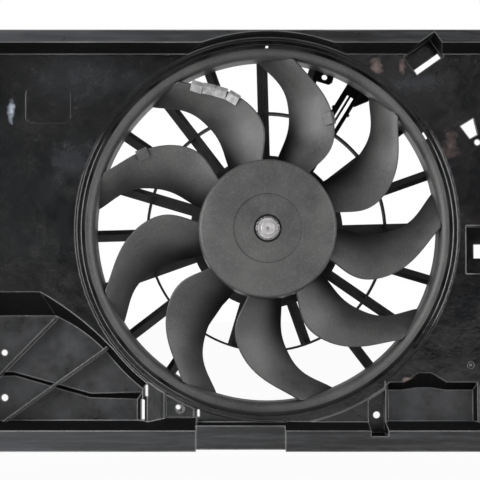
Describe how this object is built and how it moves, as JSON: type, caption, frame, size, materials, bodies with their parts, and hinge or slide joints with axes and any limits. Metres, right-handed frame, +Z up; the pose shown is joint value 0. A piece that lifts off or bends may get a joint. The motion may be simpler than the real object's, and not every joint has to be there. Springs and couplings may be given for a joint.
{
  "type": "radiator cooling fan",
  "caption": "Radiator cooling fan: moulded rectangular shroud with round duct, radial motor carrier and a ringed swept-blade fan on a flat electric motor.",
  "frame": {"origin": "on the fan's axis, in the plane of the flange that meets the radiator", "axes": "+Y along the fan axis, from the radiator towards the motor's cover; +Z up; +X to the right seen from the radiator side, along the shroud's width"},
  "size_m": [0.653, 0.142, 0.423],
  "materials": {
    "shroud_plastic": "satin gloss, near black",
    "carrier_plastic": "matte black",
    "fan_plastic": "satin dark grey",
    "zinc_steel": "satin zinc",
    "can_steel": "satin zinc",
    "ferrite": "matte sintered",
    "spring_steel": "satin",
    "tin_brass": "bright",
    "card_plastic": "matte brown",
    "carbon": "matte",
    "copper": "enamelled copper",
    "bronze": "sintered bronze",
    "bright_steel": "bright steel",
    "laminated_steel": "laminated sheet",
    "clip_steel": "pale satin"
  },
  "bodies": {
    "housing": {"shroud_housing": "shroud_plastic", "motor_carrier": "carrier_plastic", "mount_bushes": "zinc_steel", "motor_can": "can_steel", "magnets": "ferrite", "magnet_springs": "spring_steel", "end_cover": "carrier_plastic", "socket_terminals": "tin_brass", "brush_card": "card_plastic", "brush_holders": "tin_brass", "brushes": "carbon", "brush_springs": "spring_steel", "choke_coils": "copper", "front_bush": "bronze", "rear_bush": "bronze", "bush_clips": "spring_steel", "motor_screws": "zinc_steel"},
    "fan": {"fan_wheel": "fan_plastic", "hub_insert": "bright_steel", "fan_washer": "bright_steel", "fan_screw": "bright_steel", "motor_shaft": "bright_steel", "retaining_ring": "spring_steel", "thrust_washers": "card_plastic", "armature_core": "laminated_steel", "armature_windings": "copper", "commutator": "copper", "balance_clip_strip": "clip_steel", "balance_clip_right": "clip_steel", "balance_clip_left": "clip_steel"}
  },
  "joints": [
    {"name": "fan_spin", "type": "hinge", "parent": "housing", "child": "fan", "pos_m": [0, 0, 0], "axis": [0, 1, 0], "continuous": true}
  ]
}
